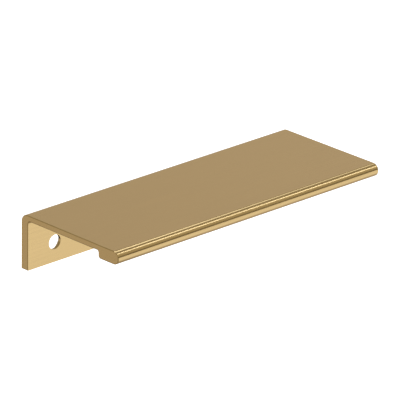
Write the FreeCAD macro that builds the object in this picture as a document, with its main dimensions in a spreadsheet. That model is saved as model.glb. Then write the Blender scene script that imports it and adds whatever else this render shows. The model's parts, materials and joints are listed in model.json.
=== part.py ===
"""Tab pull: one extruded bar, cut to length, that hooks over the top edge of a drawer or door front.

The section has a leg that hangs behind the front, a thin plate that lies on its top edge, and a
thicker lip with a round nose for the fingers. Wood screws go through the leg from behind, so their
countersinks are in its back face.

Frame, in millimetres: +X along the bar, +Y to the back, +Z up. The origin is midway between the two
screw holes, on the leg's front face, which lies against the back of the drawer front.
"""
import math
import os

import FreeCAD
import Part
import Sketcher

NODE = "tab_pull"

# Driving dimensions, in millimetres and degrees
SIZES = {
    "bar_length": 101.6,
    "bar_depth": 39.9,
    "bar_height": 16.7,
    "plate_thickness": 1.7,
    "leg_thickness": 2.7,
    "lip_height": 3.95,
    "lip_depth": 8.15,
    "bend_outer_radius": 2.4,
    "bend_inner_radius": 1.0,
    "lip_root_radius": 0.65,
    "lip_heel_radius": 0.9,
    "edge_radius": 0.25,
    "hole_diameter": 4.4,
    "hole_end_distance": 10.25,
    "hole_edge_distance": 6.05,
    "hole_land": 0.9,
    "countersink_angle": 82.0,
}

# The nose is a half circle, and the small radii never take up the walls that they round
WALL_SHARE = 0.4
NOSE_RADIUS = "Sizes.lip_height / 2"
LIP_WALL = f"{WALL_SHARE} * (Sizes.lip_height - Sizes.plate_thickness)"
ROOT_RADIUS = f"min(Sizes.lip_root_radius; {LIP_WALL})"
HEEL_RADIUS = f"min(Sizes.lip_heel_radius; {LIP_WALL})"
EDGE_RADIUS = f"min(Sizes.edge_radius; Sizes.lip_heel_radius / 2; {LIP_WALL} / 2)"

# How the sketcher numbers the points of an element, from 1, and the sketch's own axes, down from -1
START, END, CENTRE = range(1, 4)
ACROSS_AXIS, UP_AXIS = range(-1, -3, -1)

# Ways that a straight run of the section can go, and the sketch's normal
RIGHT = FreeCAD.Vector(1, 0, 0)
LEFT = FreeCAD.Vector(-1, 0, 0)
UP = FreeCAD.Vector(0, 1, 0)
DOWN = FreeCAD.Vector(0, -1, 0)
NORMAL = FreeCAD.Vector(0, 0, 1)

# Distance under which two places are the same, and share by which a volume may differ
SAME_PLACE = 1e-4
SAME_VOLUME = 1e-3


def make_sheet(doc):
    """Keep each driving dimension in a cell whose alias is its name."""
    sheet = doc.addObject("Spreadsheet::Sheet", "Sizes")
    for row, (name, value) in enumerate(SIZES.items(), start=1):
        sheet.set(f"A{row}", name)
        sheet.set(f"B{row}", str(value))
        sheet.setAlias(f"B{row}", name)
    doc.recompute()


def measure(item, expression):
    """What an expression comes to now, as a plain number."""
    return float(item.evalExpression(expression))


def new_sketch(body, name, role):
    """An empty sketch on the body's own origin plane that has this role."""
    sketch = body.newObject("Sketcher::SketchObject", name)
    plane = next(plane for plane in body.Origin.OriginFeatures if plane.Role == role)
    sketch.AttachmentSupport = (plane, "")
    sketch.MapMode = "FlatFace"
    return sketch


def bind(sketch, name, expression, kind, *elements):
    """Add a dimension to the sketch, name it and drive it from the sheet."""
    value = measure(sketch, expression)
    index = sketch.addConstraint(Sketcher.Constraint(kind, *elements, value))
    sketch.renameConstraint(index, name)
    sketch.setExpression(f"Constraints.{name}", expression)


def round_corner(sketch, expression, before, after):
    """Join the end of one line to the start of the next by an arc tangent to both."""
    line_in, line_out = sketch.Geometry[before], sketch.Geometry[after]
    entry, leave = line_in.EndPoint, line_out.StartPoint
    way_in = (line_in.EndPoint - line_in.StartPoint).normalize()
    way_out = (line_out.EndPoint - line_out.StartPoint).normalize()
    turns_left = way_in.cross(way_out).z > -SAME_PLACE
    radius = measure(sketch, expression)
    side = NORMAL.cross(way_in) * (radius if turns_left else -radius)
    centre = entry + side
    first, last = (entry, leave) if turns_left else (leave, entry)
    first_angle = math.atan2(first.y - centre.y, first.x - centre.x)
    last_angle = math.atan2(last.y - centre.y, last.x - centre.x)
    if last_angle < first_angle:
        last_angle += 2 * math.pi
    circle = Part.Circle(centre, NORMAL, radius)
    arc = sketch.addGeometry(Part.ArcOfCircle(circle, first_angle, last_angle))
    arc_in, arc_out = (START, END) if turns_left else (END, START)
    sketch.addConstraint(Sketcher.Constraint("Tangent", before, END, arc, arc_in))
    sketch.addConstraint(Sketcher.Constraint("Tangent", arc, arc_out, after, START))
    return arc


def draw_section(body):
    """The bar's section, seen from its +X end, drawn counter-clockwise from the leg's toe."""
    sketch = new_sketch(body, "Section", "YZ_Plane")
    toe = -measure(sketch, "Sizes.hole_edge_distance")
    top = toe + measure(sketch, "Sizes.bar_height")
    under = top - measure(sketch, "Sizes.plate_thickness")
    lip = top - measure(sketch, "Sizes.lip_height")
    back = measure(sketch, "Sizes.leg_thickness")
    tip = back - measure(sketch, "Sizes.bar_depth")
    heel = tip + measure(sketch, "Sizes.lip_depth")

    # Straight runs: name, way, corner where it starts, corner where it ends, radius that it ends in
    runs = [
        ("toe", RIGHT, (0, toe), (back, toe), None),
        ("back", UP, (back, toe), (back, top), "Sizes.bend_outer_radius"),
        ("top", LEFT, (back, top), (tip, top), NOSE_RADIUS),
        ("lip", RIGHT, (tip, lip), (heel, lip), HEEL_RADIUS),
        ("heel", UP, (heel, lip), (heel, under), ROOT_RADIUS),
        ("under", RIGHT, (heel, under), (0, under), "Sizes.bend_inner_radius"),
        ("seat", DOWN, (0, under), (0, toe), None),
    ]
    lines = {}
    trim = 0.0
    for name, way, start, end, radius in runs:
        start_point = FreeCAD.Vector(*start, 0) + way * trim
        trim = measure(sketch, radius) if radius else 0.0
        end_point = FreeCAD.Vector(*end, 0) - way * trim
        lines[name] = sketch.addGeometry(Part.LineSegment(start_point, end_point))
        level = "Horizontal" if way in (RIGHT, LEFT) else "Vertical"
        sketch.addConstraint(Sketcher.Constraint(level, lines[name]))

    names = list(lines)
    arcs = {}
    for (name, _, _, _, radius), following in zip(runs, names[1:] + names[:1]):
        if radius:
            arcs[name] = round_corner(sketch, radius, lines[name], lines[following])
        else:
            joint = Sketcher.Constraint("Coincident", lines[name], END, lines[following], START)
            sketch.addConstraint(joint)

    # Dimensions: the seat lies on the sketch's upright axis, and the hole line on the other
    seat, nose = lines["seat"], arcs["top"]
    sketch.addConstraint(Sketcher.Constraint("PointOnObject", seat, START, UP_AXIS))
    bind(sketch, "hole_edge_distance", "Sizes.hole_edge_distance",
         "DistanceY", lines["toe"], START, ACROSS_AXIS, START)
    bind(sketch, "bar_height", "Sizes.bar_height",
         "DistanceY", lines["toe"], START, lines["top"], START)
    bind(sketch, "plate_thickness", "Sizes.plate_thickness",
         "DistanceY", lines["under"], START, lines["top"], START)
    bind(sketch, "lip_height", "Sizes.lip_height",
         "DistanceY", lines["lip"], START, lines["top"], START)
    bind(sketch, "leg_thickness", "Sizes.leg_thickness",
         "DistanceX", seat, START, lines["back"], START)
    bind(sketch, "nose_to_back", f"Sizes.bar_depth - {NOSE_RADIUS}",
         "DistanceX", nose, CENTRE, lines["back"], START)
    bind(sketch, "nose_to_heel", f"Sizes.lip_depth - {NOSE_RADIUS}",
         "DistanceX", nose, CENTRE, lines["heel"], START)
    for name, _, _, _, radius in runs:
        if radius and name != "top":
            bind(sketch, f"radius_after_{name}", radius, "Radius", arcs[name])
    return sketch


def extrude_bar(body, section):
    """The section drawn out along X, as much to each side of its plane."""
    bar = body.newObject("PartDesign::Pad", "Bar")
    bar.Profile = section
    bar.SideType = "Symmetric"
    bar.setExpression("Length", "Sizes.bar_length")
    return bar


def drill_screw_holes(doc, body, bar):
    """A countersunk hole near each end of the leg, cut from its back face."""
    sketch = new_sketch(body, "HoleCentres", "XZ_Plane")
    sketch.setExpression("AttachmentOffset.Base.z", "-Sizes.leg_thickness")
    from_middle = "Sizes.bar_length / 2 - Sizes.hole_end_distance"
    radius = "Sizes.hole_diameter / 2"
    for name, way in (("left", LEFT), ("right", RIGHT)):
        circle = Part.Circle(way * measure(sketch, from_middle), NORMAL, measure(sketch, radius))
        hole = sketch.addGeometry(circle)
        ends = [(hole, CENTRE), (ACROSS_AXIS, START)]
        if way is RIGHT:
            ends.reverse()
        sketch.addConstraint(Sketcher.Constraint("PointOnObject", hole, CENTRE, ACROSS_AXIS))
        bind(sketch, f"{name}_from_middle", from_middle, "DistanceX", *ends[0], *ends[1])
        bind(sketch, f"{name}_radius", radius, "Radius", hole)
    doc.recompute()

    sink_depth = "(Sizes.leg_thickness - Sizes.hole_land)"
    sink_diameter = f"Sizes.hole_diameter + 2 * {sink_depth} * tan(Sizes.countersink_angle / 2)"
    holes = body.newObject("PartDesign::Hole", "ScrewHoles")
    holes.Profile = sketch
    holes.DepthType = "ThroughAll"
    holes.HoleCutType = "Countersink"
    holes.Reversed = True
    holes.setExpression("Diameter", "Sizes.hole_diameter")
    holes.setExpression("HoleCutDiameter", sink_diameter)
    holes.setExpression("HoleCutCountersinkAngle", "Sizes.countersink_angle")
    doc.recompute()

    bore = measure(holes, radius)
    mouth = measure(holes, sink_diameter) / 2
    cone = measure(holes, sink_depth) * (bore ** 2 + bore * mouth + mouth ** 2) / 3
    wanted = 2 * math.pi * (measure(holes, "Sizes.hole_land") * bore ** 2 + cone)
    removed = bar.Shape.Volume - holes.Shape.Volume
    if abs(removed - wanted) > SAME_VOLUME * wanted:
        raise RuntimeError(f"screw holes: {removed:.2f} mm3 removed, {wanted:.2f} mm3 wanted")
    return holes


def ease_edges(body, holes):
    """Take the sharpness off both cut ends."""
    end = measure(holes, "Sizes.bar_length / 2")

    def is_at_an_end(edge):
        box = edge.BoundBox
        return box.XLength < SAME_PLACE and abs(abs(box.Center.x) - end) < SAME_PLACE

    edges = enumerate(holes.Shape.Edges, start=1)
    eased = body.newObject("PartDesign::Fillet", "EasedEdges")
    eased.Base = (holes, [f"Edge{number}" for number, edge in edges if is_at_an_end(edge)])
    eased.setExpression("Radius", EDGE_RADIUS)
    return eased


def check(doc, body):
    """Stop if any feature failed or the finished solid isn't sound."""
    for item in doc.Objects:
        if "Invalid" in item.State or "Error" in item.State:
            raise RuntimeError(f"{item.Label} failed: {item.State}")
    shape = body.Shape
    if shape.isNull() or not shape.isValid() or len(shape.Solids) != 1:
        raise RuntimeError(f"{body.Label} isn't one valid solid")


def main():
    doc = FreeCAD.newDocument("TabPull")
    make_sheet(doc)
    body = doc.addObject("PartDesign::Body", "Body")
    body.Label = NODE
    section = draw_section(body)
    doc.recompute()
    bar = extrude_bar(body, section)
    doc.recompute()
    holes = drill_screw_holes(doc, body, bar)
    body.Tip = ease_edges(body, holes)
    doc.recompute()
    check(doc, body)
    os.makedirs("parts", exist_ok=True)
    body.Shape.exportStep(os.path.join("parts", f"{NODE}.step"))
    box = body.Shape.optimalBoundingBox(False, False)
    print(f"{NODE}: {box.XLength:.2f} x {box.YLength:.2f} x {box.ZLength:.2f} mm,"
          f" {body.Shape.Volume:.1f} mm3, section fully constrained: {section.FullyConstrained}")


main()
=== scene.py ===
# %% [markdown]
# A tab pull in satin brass
#
# A tab pull is the slim handle that hooks over the top edge of a drawer front. This one is a single
# length of extruded metal: a leg that is screwed to the back of the front, a flat plate on top, and a
# round-nosed lip in front that fingers pull on.
#
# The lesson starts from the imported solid, which fixes every size and place, and dresses it: one mesh
# with clean shading, one satin finish, a small studio and a camera.

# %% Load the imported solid
import json
import math

import bpy
from mathutils import Matrix, Vector


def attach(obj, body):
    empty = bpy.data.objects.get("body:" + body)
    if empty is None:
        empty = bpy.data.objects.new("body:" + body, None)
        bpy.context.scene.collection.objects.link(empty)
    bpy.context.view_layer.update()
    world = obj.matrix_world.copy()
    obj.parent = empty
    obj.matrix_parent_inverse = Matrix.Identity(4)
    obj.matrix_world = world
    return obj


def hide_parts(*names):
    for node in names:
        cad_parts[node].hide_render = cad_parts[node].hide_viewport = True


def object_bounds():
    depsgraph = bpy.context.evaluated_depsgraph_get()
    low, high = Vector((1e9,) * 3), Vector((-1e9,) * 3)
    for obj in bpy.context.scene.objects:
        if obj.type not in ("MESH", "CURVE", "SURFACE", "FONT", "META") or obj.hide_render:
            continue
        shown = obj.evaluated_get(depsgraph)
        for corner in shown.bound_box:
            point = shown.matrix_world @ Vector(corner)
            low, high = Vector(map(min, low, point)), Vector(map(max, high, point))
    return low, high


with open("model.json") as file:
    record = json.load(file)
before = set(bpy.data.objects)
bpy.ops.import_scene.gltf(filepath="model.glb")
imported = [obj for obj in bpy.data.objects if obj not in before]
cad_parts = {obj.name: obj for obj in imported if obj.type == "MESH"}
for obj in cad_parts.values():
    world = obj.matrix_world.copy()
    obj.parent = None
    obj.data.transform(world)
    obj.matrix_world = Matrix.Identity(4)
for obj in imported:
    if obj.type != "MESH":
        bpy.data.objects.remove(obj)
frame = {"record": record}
cad_low, cad_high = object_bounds()
print("packed solid from", tuple(cad_low), "to", tuple(cad_high))

# %% [markdown]
# Where the sizes come from
#
# The box of the solid gives the length, depth and height of the bar. Its mounts give the rest of what
# has to fit: the bore and spacing of the screw holes, the front face of the leg and the underside of
# the plate. Only the lip, the roundings and the countersinks are written here, as the solid has them.

# %% Read the sizes of the bar
MILLIMETRE = 0.001
mounts = {mount["name"]: mount for mount in frame["record"]["mounts"]}
screw_holes = mounts["screw_holes"]["dims"]

bar_length = cad_high.x - cad_low.x
toe_z = cad_low.z
top_z = cad_high.z
tip_y = cad_low.y
back_y = cad_high.y
leg_front_y = mounts["leg_seat"]["pos_m"][1]
underside_z = mounts["plate_seat"]["pos_m"][2]
hole_radius = screw_holes["hole_r_mm"] * MILLIMETRE
hole_spacing = screw_holes["spacing_x_mm"] * MILLIMETRE

LIP_HEIGHT = 3.95 * MILLIMETRE
LIP_DEPTH = 8.15 * MILLIMETRE
BEND_OUTER_RADIUS = 2.4 * MILLIMETRE
BEND_INNER_RADIUS = 1.0 * MILLIMETRE
LIP_ROOT_RADIUS = 0.65 * MILLIMETRE
LIP_HEEL_RADIUS = 0.9 * MILLIMETRE
EDGE_RADIUS = 0.25 * MILLIMETRE
HOLE_LAND = 0.9 * MILLIMETRE
COUNTERSINK_ANGLE = math.radians(82)

leg_thickness = back_y - leg_front_y
lip_bottom_z = top_z - LIP_HEIGHT
heel_y = tip_y + LIP_DEPTH
print("bar is", round(bar_length / MILLIMETRE, 2), "mm long")
print("leg is", round(leg_thickness / MILLIMETRE, 2), "mm thick")

# %% [markdown]
# The section as eight corners
#
# An extrusion is drawn once, as a section, and pushed out to any length. Its section here has only
# eight corners, each with its own rounding: two roundings of half the lip's height meet and make the
# bull nose, and the two corners of the toe stay square. The corners go into a small mesh of points
# and edges, with the rounding stored beside each point, so that the node tree can round every corner
# in one go.

# %% Write the corners of the section
SQUARE = 0.0
nose_radius = LIP_HEIGHT / 2
section_corners = [
    (back_y, toe_z, SQUARE),
    (back_y, top_z, BEND_OUTER_RADIUS),
    (tip_y, top_z, nose_radius),
    (tip_y, lip_bottom_z, nose_radius),
    (heel_y, lip_bottom_z, LIP_HEEL_RADIUS),
    (heel_y, underside_z, LIP_ROOT_RADIUS),
    (leg_front_y, underside_z, BEND_INNER_RADIUS),
    (leg_front_y, toe_z, SQUARE),
]
CORNER_RADIUS = "corner_radius"


def draw_section(corners):
    points = [(y, z, 0.0) for y, z, rounding in corners]
    edges = [(index, (index + 1) % len(points)) for index in range(len(points))]
    mesh = bpy.data.meshes.new("section")
    mesh.from_pydata(points, edges, [])
    radii = mesh.attributes.new(CORNER_RADIUS, "FLOAT", "POINT")
    radii.data.foreach_set("value", [rounding for y, z, rounding in corners])
    carrier = bpy.data.objects.new("section", mesh)
    bpy.context.scene.collection.objects.link(carrier)
    return carrier


section = draw_section(section_corners)
print("section with", len(section.data.vertices), "corners")

# %% [markdown]
# A node tree for the bar
#
# The bar follows a rule, so Geometry Nodes make it: round the corners, sweep the section, ease the
# sawn ends, drill the holes. Two small helpers keep the tree readable. One adds a node and fills its
# inputs with numbers or with the outputs of other nodes, and one adds a sum.

# %% Helpers for node trees
def add_node(tree, kind, inputs=None, **settings):
    node = tree.nodes.new(kind)
    for name, value in settings.items():
        setattr(node, name, value)
    for name, value in (inputs or {}).items():
        if isinstance(value, bpy.types.NodeSocket):
            tree.links.new(value, node.inputs[name])
        else:
            node.inputs[name].default_value = value
    return node


def add_sum(tree, operation, *values, clamp=False):
    terms = dict(enumerate(values))
    node = add_node(tree, "ShaderNodeMath", terms, operation=operation, use_clamp=clamp)
    return node.outputs["Value"]


bar_tree = bpy.data.node_groups.new("extruded_bar", "GeometryNodeTree")
bar_tree.interface.new_socket("Section", in_out="INPUT", socket_type="NodeSocketGeometry")
bar_tree.interface.new_socket("Bar", in_out="OUTPUT", socket_type="NodeSocketGeometry")
bar_settings = {
    "Length": bar_length,
    "Edge Radius": EDGE_RADIUS,
    "Hole Radius": hole_radius,
    "Hole Spacing": hole_spacing,
    "Hole Land": HOLE_LAND,
    "Leg Thickness": leg_thickness,
    "Leg Front": leg_front_y,
    "Half Countersink": COUNTERSINK_ANGLE / 2,
}
for setting in bar_settings:
    bar_tree.interface.new_socket(setting, in_out="INPUT", socket_type="NodeSocketFloat")
bar_tree.interface.new_socket("Finish", in_out="INPUT", socket_type="NodeSocketMaterial")
size = add_node(bar_tree, "NodeGroupInput").outputs
print("bar tree takes", ", ".join(bar_settings))

# %% [markdown]
# Rounding the section
#
# Fillet Curve turns each corner into an arc of its own radius, and leaves a square corner alone. The
# direction that points out of the metal is kept at every point, as the cross product of the way along
# the outline and the way along the bar, because the ends of the bar are eased with it later. At a
# square corner that direction is the diagonal, and it is stretched to reach as far as both sides.

# %% Round the section
ARC_POINTS = 24
ALONG_BAR = (0.0, 0.0, 1.0)
SAME_POINT = 0.001 * MILLIMETRE
DIAGONAL_STRETCH = math.sqrt(2)

outline = add_node(bar_tree, "GeometryNodeMeshToCurve", {"Mesh": size["Section"]})
rounding = add_node(bar_tree, "GeometryNodeInputNamedAttribute", {"Name": CORNER_RADIUS})
rounded = add_node(
    bar_tree,
    "GeometryNodeFilletCurve",
    {
        "Curve": outline.outputs["Curve"],
        "Count": ARC_POINTS,
        "Radius": rounding.outputs["Attribute"],
        "Limit Radius": True,
    },
    mode="POLY",
)
tangent = add_node(bar_tree, "GeometryNodeInputTangent").outputs["Tangent"]
diagonal = add_node(
    bar_tree, "ShaderNodeVectorMath", {0: tangent, 1: ALONG_BAR}, operation="CROSS_PRODUCT"
)
is_square = add_sum(bar_tree, "COMPARE", rounding.outputs["Attribute"], SQUARE, SAME_POINT)
stretch = add_node(
    bar_tree,
    "ShaderNodeMapRange",
    {"Value": is_square, "To Min": 1.0, "To Max": DIAGONAL_STRETCH},
).outputs["Result"]
outward = add_node(
    bar_tree,
    "ShaderNodeVectorMath",
    {0: diagonal.outputs["Vector"], "Scale": stretch},
    operation="SCALE",
)
profile = add_node(bar_tree, "GeometryNodeCaptureAttribute")
profile.capture_items.new("VECTOR", "Outward")
bar_tree.links.new(rounded.outputs["Curve"], profile.inputs["Geometry"])
bar_tree.links.new(outward.outputs["Vector"], profile.inputs["Outward"])
print("each corner rounded by", ARC_POINTS, "points")

# %% [markdown]
# Sweeping it, with eased ends
#
# A sawn end is never left sharp: its edge is broken all round. Stations along the bar bunch up at
# both ends on a quarter circle, and each station pulls the section in by what that circle has lost
# there. This gives a true round edge on the whole outline, with no bevel to go wrong in the corners.

# %% Place the stations along the bar
EASE_STEPS = 6
HALF_STEP = 0.5

station_count = 2 * (EASE_STEPS + 1)
middle_station = (station_count - 1) / 2
station_angle = math.pi / 2 / EASE_STEPS

index = add_node(bar_tree, "GeometryNodeInputIndex").outputs["Index"]
from_middle = add_sum(bar_tree, "SUBTRACT", index, middle_station)
side = add_sum(bar_tree, "SIGN", from_middle)
step = add_sum(bar_tree, "SUBTRACT", add_sum(bar_tree, "ABSOLUTE", from_middle), HALF_STEP)
angle = add_sum(bar_tree, "MULTIPLY", step, station_angle)
half_length = add_sum(bar_tree, "DIVIDE", size["Length"], 2.0)
half_flat = add_sum(bar_tree, "SUBTRACT", half_length, size["Edge Radius"])
reach = add_sum(
    bar_tree, "MULTIPLY_ADD", add_sum(bar_tree, "SINE", angle), size["Edge Radius"], half_flat
)
station_x = add_sum(bar_tree, "MULTIPLY", side, reach)
kept_share = add_sum(bar_tree, "COSINE", angle)
inset = add_sum(
    bar_tree, "MULTIPLY", add_sum(bar_tree, "SUBTRACT", 1.0, kept_share), size["Edge Radius"]
)

stations = add_node(bar_tree, "GeometryNodeMeshLine", {"Count": station_count})
station_point = add_node(bar_tree, "ShaderNodeCombineXYZ", {"X": station_x})
placed = add_node(
    bar_tree,
    "GeometryNodeSetPosition",
    {"Geometry": stations.outputs["Mesh"], "Position": station_point.outputs["Vector"]},
)
path = add_node(bar_tree, "GeometryNodeCaptureAttribute")
path.capture_items.new("FLOAT", "Inset")
bar_tree.links.new(placed.outputs["Geometry"], path.inputs["Geometry"])
bar_tree.links.new(inset, path.inputs["Inset"])
print("sweep over", station_count, "stations")

# %% Sweep the section and ease its ends
ACROSS_BAR = (0.0, 1.0, 0.0)

line = add_node(bar_tree, "GeometryNodeMeshToCurve", {"Mesh": path.outputs["Geometry"]})
upright = add_node(
    bar_tree,
    "GeometryNodeSetCurveNormal",
    {"Curve": line.outputs["Curve"], "Normal": ACROSS_BAR},
    mode="FREE",
)
swept = add_node(
    bar_tree,
    "GeometryNodeCurveToMesh",
    {
        "Curve": upright.outputs["Curve"],
        "Profile Curve": profile.outputs["Geometry"],
        "Fill Caps": True,
    },
)
section_out = add_node(
    bar_tree, "ShaderNodeSeparateXYZ", {"Vector": profile.outputs["Outward"]}
).outputs
bar_out = add_node(
    bar_tree, "ShaderNodeCombineXYZ", {"Y": section_out["X"], "Z": section_out["Y"]}
)
pull_in = add_sum(bar_tree, "MULTIPLY", path.outputs["Inset"], -1.0)
shift = add_node(
    bar_tree,
    "ShaderNodeVectorMath",
    {0: bar_out.outputs["Vector"], "Scale": pull_in},
    operation="SCALE",
)
eased = add_node(
    bar_tree,
    "GeometryNodeSetPosition",
    {"Geometry": swept.outputs["Mesh"], "Offset": shift.outputs["Vector"]},
)
merged = add_node(
    bar_tree,
    "GeometryNodeMergeByDistance",
    {"Geometry": eased.outputs["Geometry"], "Distance": SAME_POINT},
)
bare = add_node(
    bar_tree,
    "GeometryNodeRemoveAttribute",
    {"Geometry": merged.outputs["Geometry"], "Name": CORNER_RADIUS},
)
bar_blank = bare.outputs["Geometry"]
print("ends eased by", EDGE_RADIUS / MILLIMETRE, "mm")

# %% [markdown]
# Drilling the leg
#
# The screws come through the leg from behind, so each hole is a plain bore with a cone sunk into the
# back face. The two cutters are the drill and the countersink bit themselves: a cylinder and a cone
# with its tip on the same axis. They are copied onto two points, one for each screw, and cut away.
# Where a cone meets its bore, the cuts leave points that all but coincide, and these are merged.

# %% Make the drill and the countersink bit
BIT_SIDES = 96
OVERSHOOT = 1.0 * MILLIMETRE
POINT_BACK = (-math.pi / 2, 0.0, 0.0)
POINT_FRONT = (math.pi / 2, 0.0, 0.0)

drill_depth = add_sum(bar_tree, "ADD", size["Leg Thickness"], 2 * OVERSHOOT)
drill = add_node(
    bar_tree,
    "GeometryNodeMeshCylinder",
    {"Vertices": BIT_SIDES, "Radius": size["Hole Radius"], "Depth": drill_depth},
)
half_leg = add_sum(bar_tree, "DIVIDE", size["Leg Thickness"], 2.0)
drill_y = add_sum(bar_tree, "ADD", size["Leg Front"], half_leg)
drill_place = add_node(bar_tree, "ShaderNodeCombineXYZ", {"Y": drill_y})
drill_set = add_node(
    bar_tree,
    "GeometryNodeTransform",
    {
        "Geometry": drill.outputs["Mesh"],
        "Translation": drill_place.outputs["Vector"],
        "Rotation": POINT_BACK,
    },
)

slope = add_sum(bar_tree, "TANGENT", size["Half Countersink"])
tip_depth = add_sum(bar_tree, "DIVIDE", size["Hole Radius"], slope)
sink_depth = add_sum(bar_tree, "SUBTRACT", size["Leg Thickness"], size["Hole Land"])
cone_depth = add_sum(bar_tree, "ADD", add_sum(bar_tree, "ADD", tip_depth, sink_depth), OVERSHOOT)
cone = add_node(
    bar_tree,
    "GeometryNodeMeshCone",
    {
        "Vertices": BIT_SIDES,
        "Radius Top": 0.0,
        "Radius Bottom": add_sum(bar_tree, "MULTIPLY", cone_depth, slope),
        "Depth": cone_depth,
    },
)
leg_back = add_sum(bar_tree, "ADD", size["Leg Front"], size["Leg Thickness"])
cone_base = add_sum(bar_tree, "ADD", leg_back, OVERSHOOT)
cone_place = add_node(bar_tree, "ShaderNodeCombineXYZ", {"Y": cone_base})
cone_set = add_node(
    bar_tree,
    "GeometryNodeTransform",
    {
        "Geometry": cone.outputs["Mesh"],
        "Translation": cone_place.outputs["Vector"],
        "Rotation": POINT_FRONT,
    },
)
print("drill and countersink bit with", BIT_SIDES, "sides")

# %% Drill the two holes
half_spacing = add_sum(bar_tree, "DIVIDE", size["Hole Spacing"], 2.0)
first_hole = add_node(
    bar_tree, "ShaderNodeCombineXYZ", {"X": add_sum(bar_tree, "MULTIPLY", half_spacing, -1.0)}
)
next_hole = add_node(bar_tree, "ShaderNodeCombineXYZ", {"X": size["Hole Spacing"]})
hole_points = add_node(
    bar_tree,
    "GeometryNodeMeshLine",
    {
        "Count": screw_holes["count"],
        "Start Location": first_hole.outputs["Vector"],
        "Offset": next_hole.outputs["Vector"],
    },
)


def set_on_holes(bit):
    copies = add_node(
        bar_tree,
        "GeometryNodeInstanceOnPoints",
        {"Points": hole_points.outputs["Mesh"], "Instance": bit.outputs["Geometry"]},
    )
    solid_bits = add_node(
        bar_tree, "GeometryNodeRealizeInstances", {"Geometry": copies.outputs["Instances"]}
    )
    return solid_bits.outputs["Geometry"]


def cut_away(blank, cutter):
    cut = add_node(
        bar_tree,
        "GeometryNodeMeshBoolean",
        {"Mesh 1": blank, "Mesh 2": cutter},
        operation="DIFFERENCE",
        solver="EXACT",
    )
    return cut.outputs["Mesh"]


drilled = cut_away(bar_blank, set_on_holes(drill_set))
countersunk = cut_away(drilled, set_on_holes(cone_set))
clean_cut = add_node(
    bar_tree, "GeometryNodeMergeByDistance", {"Geometry": countersunk, "Distance": SAME_POINT}
)
print("holes drilled:", screw_holes["count"])

# %% [markdown]
# Smooth faces, crisp rims
#
# The roundings should shade as one surface, while the rims of the holes stay crisp. So every face is
# smooth, and edges that turn sharply are marked sharp. The tree ends with real geometry, and with the
# finish set on it.

# %% Finish the tree
SHARP_TURN = math.radians(32)

all_smooth = add_node(
    bar_tree,
    "GeometryNodeSetShadeSmooth",
    {"Geometry": clean_cut.outputs["Geometry"], "Shade Smooth": True},
    domain="FACE",
)
no_creases = add_node(
    bar_tree,
    "GeometryNodeSetShadeSmooth",
    {"Geometry": all_smooth.outputs["Geometry"], "Shade Smooth": True},
    domain="EDGE",
)
turn = add_node(bar_tree, "GeometryNodeInputMeshEdgeAngle").outputs["Unsigned Angle"]
is_sharp = add_sum(bar_tree, "GREATER_THAN", turn, SHARP_TURN)
crisp = add_node(
    bar_tree,
    "GeometryNodeSetShadeSmooth",
    {"Geometry": no_creases.outputs["Geometry"], "Selection": is_sharp, "Shade Smooth": False},
    domain="EDGE",
)
solid_bar = add_node(
    bar_tree, "GeometryNodeRealizeInstances", {"Geometry": crisp.outputs["Geometry"]}
)
finished_bar = add_node(
    bar_tree,
    "GeometryNodeSetMaterial",
    {"Geometry": solid_bar.outputs["Geometry"], "Material": size["Finish"]},
)
add_node(bar_tree, "NodeGroupOutput", {"Bar": finished_bar.outputs["Geometry"]})
print("bar tree has", len(bar_tree.nodes), "nodes")

# %% [markdown]
# The satin brass finish
#
# The metal is brushed along the bar and given a brass colour. A satin finish is not a flat colour: it
# has a grain of fine hairlines and a slight drift of tone. A picture of brushed metal could give both,
# but noise has no seams and needs no file. One stretched noise makes the hairlines, as a shallow bump
# and as small changes of tone and roughness, and a broad one makes the drift. Both read Object
# coordinates in metres, so the grain is as fine as on the real bar.

# %% Choose the tones and the grain
BRASS = (0.745, 0.5375, 0.2520, 1.0)
BRASS_DEEP = (0.655, 0.4725, 0.2210, 1.0)
ROUGHNESS_LOW = 0.12
ROUGHNESS_HIGH = 0.22
HAIRLINE_LENGTH = 32.0 * MILLIMETRE
HAIRLINE_WIDTH = 0.12 * MILLIMETRE
HAIRLINE_DEPTH = 0.0002 * MILLIMETRE
HAIRLINE_DETAIL = 2.0
HAIRLINE_BREAKUP = 0.6
PATCH_SIZE = 22.0 * MILLIMETRE
PATCH_DETAIL = 3.0
PATCH_BREAKUP = 0.5
GRAIN_LOW = 0.35
GRAIN_HIGH = 0.65
GRAIN_SHARE = 0.7
print("hairlines", HAIRLINE_WIDTH / MILLIMETRE, "mm wide and", HAIRLINE_LENGTH / MILLIMETRE, "mm long")

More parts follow.
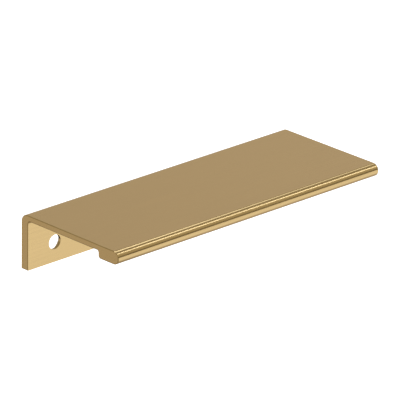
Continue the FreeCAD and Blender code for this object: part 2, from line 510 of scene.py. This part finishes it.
# %% Make the satin brass
def make_satin_brass():
    material = bpy.data.materials.new("brushed_satin_brass")
    material.use_nodes = True
    tree = material.node_tree
    shader = tree.nodes["Principled BSDF"]
    shader.inputs["Metallic"].default_value = 1.0

    place = add_node(tree, "ShaderNodeTexCoord").outputs["Object"]
    along_grain = (1 / HAIRLINE_LENGTH, 1 / HAIRLINE_WIDTH, 1 / HAIRLINE_WIDTH)
    stretched = add_node(tree, "ShaderNodeMapping", {"Vector": place, "Scale": along_grain})
    hairlines = add_node(
        tree,
        "ShaderNodeTexNoise",
        {
            "Vector": stretched.outputs["Vector"],
            "Scale": 1.0,
            "Detail": HAIRLINE_DETAIL,
            "Roughness": HAIRLINE_BREAKUP,
        },
    )
    patches = add_node(
        tree,
        "ShaderNodeTexNoise",
        {
            "Vector": place,
            "Scale": 1 / PATCH_SIZE,
            "Detail": PATCH_DETAIL,
            "Roughness": PATCH_BREAKUP,
        },
    )
    grain = add_node(
        tree,
        "ShaderNodeMapRange",
        {"Value": hairlines.outputs["Fac"], "From Min": GRAIN_LOW, "From Max": GRAIN_HIGH},
    ).outputs["Result"]
    broad = add_sum(tree, "MULTIPLY", patches.outputs["Fac"], 1 - GRAIN_SHARE)
    drift = add_sum(tree, "MULTIPLY_ADD", grain, GRAIN_SHARE, broad)
    colour = add_node(
        tree,
        "ShaderNodeMix",
        {"Factor": drift, "A": BRASS_DEEP, "B": BRASS},
        data_type="RGBA",
    )
    sheen = add_node(
        tree,
        "ShaderNodeMapRange",
        {"Value": grain, "To Min": ROUGHNESS_LOW, "To Max": ROUGHNESS_HIGH},
    )
    brushed = add_node(
        tree,
        "ShaderNodeBump",
        {"Strength": 1.0, "Distance": HAIRLINE_DEPTH, "Height": hairlines.outputs["Fac"]},
    )
    tree.links.new(colour.outputs["Result"], shader.inputs["Base Color"])
    tree.links.new(sheen.outputs["Result"], shader.inputs["Roughness"])
    tree.links.new(brushed.outputs["Normal"], shader.inputs["Normal"])
    return material


satin_brass = make_satin_brass()
print("finish", satin_brass.name, "with", len(satin_brass.node_tree.nodes), "nodes")

# %% [markdown]
# From tree to plain mesh
#
# The inputs of the tree are set by their identifiers before anything is evaluated. A Weighted Normal
# modifier after the tree keeps the wide flats flat right up to the roundings beside them. The result
# is copied out as a plain mesh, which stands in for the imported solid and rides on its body.

# %% Make the pull
def set_inputs(modifier, values):
    for item in modifier.node_group.interface.items_tree:
        if item.item_type == "SOCKET" and item.name in values:
            modifier[item.identifier] = values[item.name]


bar_nodes = section.modifiers.new("bar", "NODES")
bar_nodes.node_group = bar_tree
set_inputs(bar_nodes, {**bar_settings, "Finish": satin_brass})
flats = section.modifiers.new("flats", "WEIGHTED_NORMAL")
flats.keep_sharp = True

depsgraph = bpy.context.evaluated_depsgraph_get()
pull_mesh = bpy.data.meshes.new_from_object(section.evaluated_get(depsgraph), depsgraph=depsgraph)
pull_mesh.name = "brass_tab_pull"
pull = bpy.data.objects.new("brass_tab_pull", pull_mesh)
bpy.context.scene.collection.objects.link(pull)
bpy.data.objects.remove(section)

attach(pull, "root")
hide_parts("tab_pull")
print("pull has", len(pull_mesh.polygons), "faces")

# %% [markdown]
# Unrolling the skin
#
# Other programs get the finish as a picture, which is laid on the metal by a flat map, and each seam of
# that map can show as a fine line. A map made by machine cuts the nose along its length. This one is
# unrolled as a paper model would be. A point's place across the map is the way along the
# section to it, counted in steps of depth and height, and its place up the map is its place along the
# bar. The seams then lie under the nose, at the toe, and on the edges of the ends and the holes.

# %% Measure the way along the section
leg_height = top_z - toe_z
depth = back_y - tip_y
middle_y = (back_y + tip_y) / 2
nose_middle_z = top_z - nose_radius
lip_middle_y = tip_y + LIP_DEPTH / 2


def along_outside(y, z):
    """From the toe up the back of the leg, over the plate and round the nose."""
    if y > middle_y:
        return (z - toe_z) + (back_y - y)
    if z > nose_middle_z:
        return leg_height + (back_y - y) + (top_z - z)
    return leg_height + depth + (top_z - z)


def along_inside(y, z):
    """From under the nose past the heel and the root, along the plate and down the leg."""
    if y > middle_y:
        return (y - tip_y) + (underside_z - lip_bottom_z) + (underside_z - z)
    if y > lip_middle_y:
        return (y - tip_y) + (z - lip_bottom_z)
    return y - tip_y


outside_width = along_outside(tip_y, lip_bottom_z)
inside_width = along_inside(leg_front_y, toe_z)
print("skin is", round(outside_width / MILLIMETRE, 1), "mm wide outside")
print("skin is", round(inside_width / MILLIMETRE, 1), "mm wide inside")

# %% Lay out the map
MAP_GAP = 1.0 * MILLIMETRE

inside_start = outside_width + MAP_GAP
toe_start = inside_start + inside_width + MAP_GAP
end_row = bar_length + MAP_GAP
end_column = depth + MAP_GAP
hole_column = 2 * end_column
hole_row = leg_thickness + MAP_GAP
map_side = max(toe_start + leg_thickness, end_row + leg_height)
print("map is", round(map_side / MILLIMETRE, 1), "mm wide")

# %% Tell the faces apart
MOSTLY = 0.7

sink_radius = hole_radius + (leg_thickness - HOLE_LAND) * math.tan(COUNTERSINK_ANGLE / 2)


def in_hole(centre):
    between_faces = leg_front_y + SAME_POINT < centre.y < back_y - SAME_POINT
    from_axis = math.hypot(abs(centre.x) - hole_spacing / 2, centre.z)
    return between_faces and from_axis < sink_radius


def faces_inside(centre, normal):
    in_hook = heel_y - LIP_HEEL_RADIUS < centre.y < leg_front_y + EDGE_RADIUS
    return normal.z < -MOSTLY or (in_hook and centre.z < underside_z + EDGE_RADIUS)


hole_faces = [face for face in pull_mesh.polygons if in_hole(face.center)]
print("faces in the holes:", len(hole_faces), "of", len(pull_mesh.polygons))

# %% Unroll the pull
BAKED_MAP = "OFBake"


def lay_hole_flat(centre, point):
    """A hole is unrolled like a label off a tin, without splitting the face that its seam crosses."""
    axis_x = math.copysign(hole_spacing / 2, centre.x)
    face_angle = math.atan2(centre.z, centre.x - axis_x)
    point_angle = math.atan2(point.z, point.x - axis_x)
    swing = math.remainder(point_angle - face_angle, math.tau)
    row = end_row + (hole_row if centre.x > 0 else 0.0)
    return hole_column + (math.pi + face_angle + swing) * hole_radius, row + point.y - leg_front_y


def lay_flat(centre, normal, point):
    """The place on the map, in metres, of a corner of the face with this centre and normal."""
    if in_hole(centre):
        return lay_hole_flat(centre, point)
    if abs(normal.x) > MOSTLY:
        column = end_column if centre.x > 0 else 0.0
        return column + point.y - tip_y, end_row + point.z - toe_z
    up_map = point.x - cad_low.x
    if normal.z < -MOSTLY and centre.z < toe_z + EDGE_RADIUS:
        return toe_start + point.y - leg_front_y, up_map
    if faces_inside(centre, normal):
        return inside_start + along_inside(point.y, point.z), up_map
    return along_outside(point.y, point.z), up_map


def unroll(mesh):
    flat_map = mesh.uv_layers.new(name=BAKED_MAP)
    for face in mesh.polygons:
        for corner in face.loop_indices:
            point = mesh.vertices[mesh.loops[corner].vertex_index].co
            flat = lay_flat(face.center, face.normal, point)
            flat_map.data[corner].uv = [place / map_side for place in flat]


unroll(pull_mesh)
print("unrolled", len(pull_mesh.polygons), "faces onto the map", BAKED_MAP)

# %% [markdown]
# A white studio
#
# Floor and room are plain white. The floor is pale paper that also glows, for the camera and in
# reflections, so that it comes out white all over with no more light on the metal. It lies well below
# the pull, which hangs free, and it is clear from below, so that the underside can be looked at.

# %% Make the white room
ROOM_WHITE = (1.0, 1.0, 1.0, 1.0)


def make_room():
    world = bpy.data.worlds.new("white_room")
    world.use_nodes = True
    world.node_tree.nodes["Background"].inputs["Color"].default_value = ROOM_WHITE
    bpy.context.scene.world = world
    return world


room = make_room()
print("room", room.name)

# %% Lay the floor
FLOOR_DROP = 120.0 * MILLIMETRE
FLOOR_SIZE = 8.0
FLOOR_COLOUR = (0.60, 0.60, 0.60, 1.0)
FLOOR_GLOW = 0.8
floor_z = toe_z - FLOOR_DROP


def make_floor_finish():
    material = bpy.data.materials.new("floor_paper")
    material.use_nodes = True
    tree = material.node_tree
    tree.nodes.remove(tree.nodes["Principled BSDF"])
    ray = add_node(tree, "ShaderNodeLightPath").outputs
    mirrored = add_sum(tree, "ADD", ray["Is Glossy Ray"], ray["Is Transmission Ray"])
    seen = add_sum(tree, "ADD", ray["Is Camera Ray"], mirrored, clamp=True)
    glow_level = add_sum(tree, "MULTIPLY", seen, FLOOR_GLOW)
    paper = add_node(tree, "ShaderNodeBsdfDiffuse", {"Color": FLOOR_COLOUR})
    glow = add_node(tree, "ShaderNodeEmission", {"Strength": glow_level})
    above = add_node(
        tree, "ShaderNodeAddShader", {0: paper.outputs["BSDF"], 1: glow.outputs["Emission"]}
    )
    clear = add_node(tree, "ShaderNodeBsdfTransparent")
    from_below = add_node(tree, "ShaderNodeNewGeometry").outputs["Backfacing"]
    one_sided = add_node(
        tree,
        "ShaderNodeMixShader",
        {0: from_below, 1: above.outputs["Shader"], 2: clear.outputs["BSDF"]},
    )
    output = tree.nodes["Material Output"]
    tree.links.new(one_sided.outputs["Shader"], output.inputs["Surface"])
    return material


def make_stage_piece(name, points, faces, material):
    mesh = bpy.data.meshes.new(name)
    mesh.from_pydata(points, [], faces)
    mesh.materials.append(material)
    piece = bpy.data.objects.new(name, mesh)
    bpy.context.scene.collection.objects.link(piece)
    return piece


def corners_at(reach, height):
    return [(x * reach, y * reach, height) for x, y in ((-1, -1), (1, -1), (1, 1), (-1, 1))]


floor_points = corners_at(FLOOR_SIZE / 2, floor_z)
floor = make_stage_piece("floor", floor_points, [(0, 1, 2, 3)], make_floor_finish())
print(floor.name, FLOOR_DROP / MILLIMETRE, "mm below the leg")

# %% [markdown]
# Flags for bright metal
#
# Metal shows its surroundings, so in a white room it is all one tone. Product photographers hang grey
# flags around it: the edges then draw dark lines, and each side gets its own tone. Many small cards
# could do it. Here the flags are one sheet on the floor and one tent around it, because soft tones laid
# over each other are easier to move about than cards. Only the metal shows them. They glow with their
# own painted tones, so the dark lines and the tones they give the metal are painted reflections.

# %% Helpers for soft tones
def add_ramp(tree, value, start, end):
    """A soft step from 0 at one place to 1 at another."""
    ramp = add_node(
        tree,
        "ShaderNodeMapRange",
        {"Value": value, "From Min": start, "From Max": end},
        interpolation_type="SMOOTHSTEP",
    )
    return ramp.outputs["Result"]


def add_product(tree, *masks):
    product = masks[0]
    for mask in masks[1:]:
        product = add_sum(tree, "MULTIPLY", product, mask)
    return product


def add_layers(tree, ground, layers):
    """Lay tones over a ground tone, each through its own mask."""
    colour = ground
    for mask, cover in layers:
        laid = add_node(
            tree, "ShaderNodeMix", {"Factor": mask, "A": colour, "B": cover}, data_type="RGBA"
        )
        colour = laid.outputs["Result"]
    return colour


def tone(level, tint):
    return (*(level * share for share in tint), 1.0)


def show_only_in_metal(flag):
    flag.visible_camera = False
    flag.visible_diffuse = False
    flag.visible_transmission = False
    flag.visible_volume_scatter = False
    flag.visible_shadow = False


WARM = (1.0, 0.92, 0.70)
MILD = (1.0, 0.925, 0.83)
NEUTRAL = (1.0, 1.0, 1.0)
print("tints of the flags: warm", WARM, "mild", MILD, "and neutral", NEUTRAL)

# %% [markdown]
# The sheet below the pull
#
# The leg, the cut end and the lower side of the nose mirror what lies below them. The sheet is grey all
# over, for the cut end and the back. Two darker patches paint dark reflected lines along the edges of
# that end, and a white one paints a bright reflection on the leg and the lower side of the nose. The
# edge of a patch is a pair of places, in metres from the pull's origin: its tone sets in at the first
# and is full at the second.

# %% Choose the tones of the sheet
FLAG_REACH = 3.0
SHEET_LIFT = 2.0 * MILLIMETRE
SHEET_GREY = tone(0.54, MILD)
SHEET_DIM = tone(0.34, WARM)
DIM_RIGHT = (0.10, 0.02)
DIM_BACK = (0.09, 0.02)
SHEET_DARK = tone(0.08, WARM)
DARK_LEFT = (-0.19, -0.15)
DARK_RIGHT = (0.10, 0.04)
DARK_FRONT = (0.05, 0.08)
DARK_BACK = (0.22, 0.17)
SHEET_WHITE = tone(1.01, NEUTRAL)
WHITE_LEFT = (0.02, 0.10)
WHITE_BACK = (-0.055, -0.125)
WHITE_FRONT = (-2.4, -0.6)
print("sheet of flags", 2 * FLAG_REACH, "m wide")

# %% Lay the sheet of flags on the floor
def make_sheet_finish():
    material = bpy.data.materials.new("sheet_flags")
    material.use_nodes = True
    tree = material.node_tree
    tree.nodes.remove(tree.nodes["Principled BSDF"])
    place = add_node(tree, "ShaderNodeTexCoord").outputs["Object"]
    spot = add_node(tree, "ShaderNodeSeparateXYZ", {"Vector": place}).outputs
    dim = add_product(
        tree, add_ramp(tree, spot["X"], *DIM_RIGHT), add_ramp(tree, spot["Y"], *DIM_BACK)
    )
    dark = add_product(
        tree,
        add_ramp(tree, spot["X"], *DARK_LEFT),
        add_ramp(tree, spot["X"], *DARK_RIGHT),
        add_ramp(tree, spot["Y"], *DARK_FRONT),
        add_ramp(tree, spot["Y"], *DARK_BACK),
    )
    white = add_product(
        tree,
        add_ramp(tree, spot["X"], *WHITE_LEFT),
        add_ramp(tree, spot["Y"], *WHITE_BACK),
        add_ramp(tree, spot["Y"], *WHITE_FRONT),
    )
    layers = [(dim, SHEET_DIM), (dark, SHEET_DARK), (white, SHEET_WHITE)]
    # The sheet glows with these tones and is seen only in the metal: painted reflections
    flags = add_node(tree, "ShaderNodeEmission", {"Color": add_layers(tree, SHEET_GREY, layers)})
    output = tree.nodes["Material Output"]
    tree.links.new(flags.outputs["Emission"], output.inputs["Surface"])
    return material


sheet_points = corners_at(FLAG_REACH, floor_z + SHEET_LIFT)
sheet = make_stage_piece("sheet_flags", sheet_points, [(0, 1, 2, 3)], make_sheet_finish())
show_only_in_metal(sheet)
print(sheet.name, SHEET_LIFT / MILLIMETRE, "mm above the floor")

# %% [markdown]
# The tent around the pull
#
# The plate and the upper side of the nose mirror what is above them. The tent is dim, with a grey wall
# behind for the plate, which gets brighter to the right. In front it gets darker towards the horizon.
# Its tones glow and are seen only in the metal, so they are painted reflections. A place on the tent is
# its direction from the pull, from -1 to 1 along each axis, and a fade is again a pair of them.

# %% Choose the tones of the tent
TENT_TONE = tone(0.33, WARM)
TENT_WALL = tone(0.60, MILD)
WALL_LEFT = 0.0
WALL_RIGHT = 0.77
WALL_BEHIND = (0.35, 0.55)
WALL_TOP = (0.56, 0.42)
TENT_FRONT = tone(0.50, WARM)
FRONT_FADE = (-0.35, -0.50)
TENT_HORIZON = tone(0.20, WARM)
HORIZON_FADE = (0.34, 0.10)
print("wall of the tent is at its brightest", WALL_RIGHT, "to the right")

# %% Put up the tent of flags
def make_tent_finish():
    material = bpy.data.materials.new("tent_flags")
    material.use_nodes = True
    tree = material.node_tree
    tree.nodes.remove(tree.nodes["Principled BSDF"])
    place = add_node(tree, "ShaderNodeTexCoord").outputs["Object"]
    look = add_node(tree, "ShaderNodeVectorMath", {0: place}, operation="NORMALIZE")
    aim = add_node(tree, "ShaderNodeSeparateXYZ", {"Vector": look.outputs["Vector"]}).outputs
    towards_right = add_node(
        tree,
        "ShaderNodeMapRange",
        {"Value": aim["X"], "From Min": WALL_LEFT, "From Max": WALL_RIGHT},
    )
    wall = add_product(
        tree,
        towards_right.outputs["Result"],
        add_ramp(tree, aim["Y"], *WALL_BEHIND),
        add_ramp(tree, aim["Z"], *WALL_TOP),
    )
    in_front = add_ramp(tree, aim["Y"], *FRONT_FADE)
    horizon = add_ramp(tree, aim["Z"], *HORIZON_FADE)
    layers = [
        (wall, TENT_WALL),
        (in_front, TENT_FRONT),
        (add_product(tree, in_front, horizon), TENT_HORIZON),
    ]
    # The tent glows with these tones and is seen only in the metal: painted reflections
    flags = add_node(tree, "ShaderNodeEmission", {"Color": add_layers(tree, TENT_TONE, layers)})
    output = tree.nodes["Material Output"]
    tree.links.new(flags.outputs["Emission"], output.inputs["Surface"])
    return material


tent_points = corners_at(FLAG_REACH, floor_z) + corners_at(FLAG_REACH, FLAG_REACH)
tent_sides = [(0, 1, 5, 4), (1, 2, 6, 5), (2, 3, 7, 6), (3, 0, 4, 7)]
tent_top = (4, 5, 6, 7)
tent = make_stage_piece("tent_flags", tent_points, [*tent_sides, tent_top], make_tent_finish())
show_only_in_metal(tent)
print(tent.name, "with", len(tent.data.polygons), "sides")

# %% [markdown]
# Strip lights for the nose
#
# Long strip lights hang over the pull in two rows, along the bar. Each row draws a bright line on the
# nose, and the dim top of the tent draws the dark line between them as a painted reflection. The front
# row is turned a little, and the far half of the back row is weaker, so that the lines change from end
# to end. The lights are a little cooler than the room.

# %% Hang the strip lights
STRIP_DISTANCE = 0.8
COOL = (0.81, 0.87, 1.0)


def hang_strip(name, angle, x_from, x_to, width, level, yaw=0.0):
    """A strip light along the bar, at an angle in degrees over the front horizon, turned by a yaw."""
    lamp = bpy.data.lights.new(name, "AREA")
    lamp.shape = "RECTANGLE"
    lamp.size = x_to - x_from
    lamp.size_y = width
    lamp.color = COOL
    lamp.energy = level * math.pi * lamp.size * lamp.size_y
    strip = bpy.data.objects.new(name, lamp)
    swing = math.radians(angle)
    spot = Vector((0.0, -math.cos(swing), math.sin(swing))) * STRIP_DISTANCE
    strip.matrix_world = (
        Matrix.Translation(spot + Vector(((x_from + x_to) / 2, 0.0, 0.0)))
        @ Matrix.Rotation(math.radians(yaw), 4, "Z")
        @ Matrix.Rotation(math.pi / 2 - swing, 4, "X")
    )
    strip.visible_camera = False
    bpy.context.scene.collection.objects.link(strip)
    return strip


strips = [
    hang_strip("front_strip", angle=60.2, x_from=0.0, x_to=1.33, width=0.13, level=2.58, yaw=-20.0),
    hang_strip("back_strip", angle=111.5, x_from=-0.9, x_to=0.66, width=0.27, level=1.72),
    hang_strip("back_strip_far", angle=113.0, x_from=0.66, x_to=1.5, width=0.20, level=1.1),
]
print("hung", ", ".join(strip.name for strip in strips))

# %% [markdown]
# The camera
#
# A long lens from well away keeps the edges of the bar nearly parallel. The camera is placed by its
# angles round the middle of the bar, and turned a little about its own axis.

# %% Set up the camera
CAMERA_SIDE = math.radians(43.8883)
CAMERA_RISE = math.radians(21.5713)
CAMERA_ROLL = math.radians(0.8555)
CAMERA_DISTANCE = 1523.67 * MILLIMETRE
CAMERA_LENS = 484.57
CLIP_START = 50.0 * MILLIMETRE
IMAGE_SIDE = 400
TARGET_PIXEL = (202.21, 204.83)
TARGET_BEFORE_BACK = 20.0 * MILLIMETRE
TARGET_BELOW_TOP = 5.0 * MILLIMETRE


def set_up_camera():
    camera_data = bpy.data.cameras.new("camera")
    camera_data.lens = CAMERA_LENS
    camera_data.clip_start = CLIP_START
    towards = Vector((
        -math.sin(CAMERA_SIDE) * math.cos(CAMERA_RISE),
        -math.cos(CAMERA_SIDE) * math.cos(CAMERA_RISE),
        math.sin(CAMERA_RISE),
    ))
    level_right = Vector((math.cos(CAMERA_SIDE), -math.sin(CAMERA_SIDE), 0.0))
    level_up = towards.cross(level_right)
    right = level_right * math.cos(CAMERA_ROLL) + level_up * math.sin(CAMERA_ROLL)
    up = level_up * math.cos(CAMERA_ROLL) - level_right * math.sin(CAMERA_ROLL)
    pixel = camera_data.sensor_width / CAMERA_LENS / IMAGE_SIDE * CAMERA_DISTANCE
    middle_x = (cad_low.x + cad_high.x) / 2
    target = Vector((middle_x, back_y - TARGET_BEFORE_BACK, top_z - TARGET_BELOW_TOP))
    aside = (TARGET_PIXEL[0] - IMAGE_SIDE / 2) * pixel
    below = (TARGET_PIXEL[1] - IMAGE_SIDE / 2) * pixel
    spot = target - right * aside + up * below + towards * CAMERA_DISTANCE
    camera = bpy.data.objects.new("camera", camera_data)
    turn_to = Matrix((right, up, towards)).transposed().to_4x4()
    camera.matrix_world = Matrix.Translation(spot) @ turn_to
    bpy.context.scene.collection.objects.link(camera)
    bpy.context.scene.camera = camera
    return camera


camera = set_up_camera()
bpy.context.scene.view_settings.view_transform = "Standard"
print(camera.name, round(CAMERA_DISTANCE, 3), "m away")
